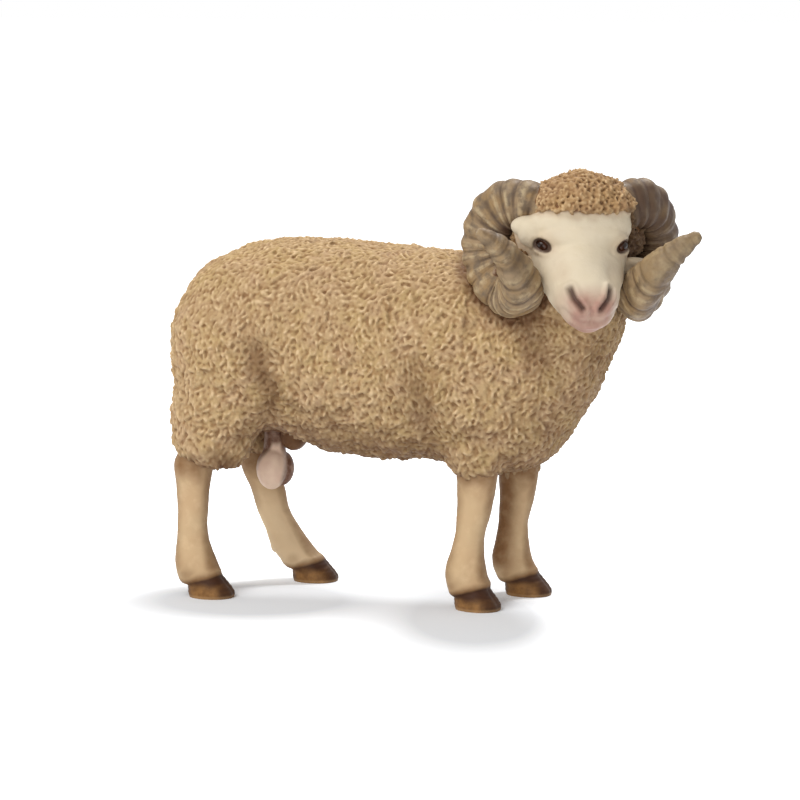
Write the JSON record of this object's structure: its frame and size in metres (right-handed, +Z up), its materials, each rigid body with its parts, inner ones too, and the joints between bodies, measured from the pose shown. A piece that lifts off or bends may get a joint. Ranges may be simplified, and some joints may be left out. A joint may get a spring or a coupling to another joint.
{
  "type": "toy farm animal figure",
  "caption": "Standing toy ram figure with curly fleece, bare legs on cloven hooves, and a head turned to its right with coiled, ridged horns.",
  "frame": {"origin": "centre of the bounding box on the plane that the hooves stand on", "axes": "+X the way the ram's body faces, +Y its left side, +Z up"},
  "size_m": [0.1012, 0.0496, 0.0793],
  "materials": {
    "torso": "painted and washed curly fleece",
    "head": "painted, matt, with glossy dark eyes",
    "right_horn": "painted, matt, dark in the grooves",
    "left_horn": "painted, matt, dark in the grooves",
    "right_ear": "painted, matt",
    "left_ear": "painted, matt",
    "right_foreleg": "painted, matt, with dark brown hooves",
    "left_foreleg": "painted, matt, with dark brown hooves",
    "right_hind_leg": "painted, matt, with dark brown hooves",
    "left_hind_leg": "painted, matt, with dark brown hooves",
    "tail": "painted and washed curly fleece",
    "scrotum": "painted, matt"
  },
  "bodies": {
    "root": {"torso": "torso", "head": "head", "right_horn": "right_horn", "left_horn": "left_horn", "right_ear": "right_ear", "left_ear": "left_ear", "right_foreleg": "right_foreleg", "left_foreleg": "left_foreleg", "right_hind_leg": "right_hind_leg", "left_hind_leg": "left_hind_leg", "tail": "tail", "scrotum": "scrotum"}
  },
  "joints": []
}
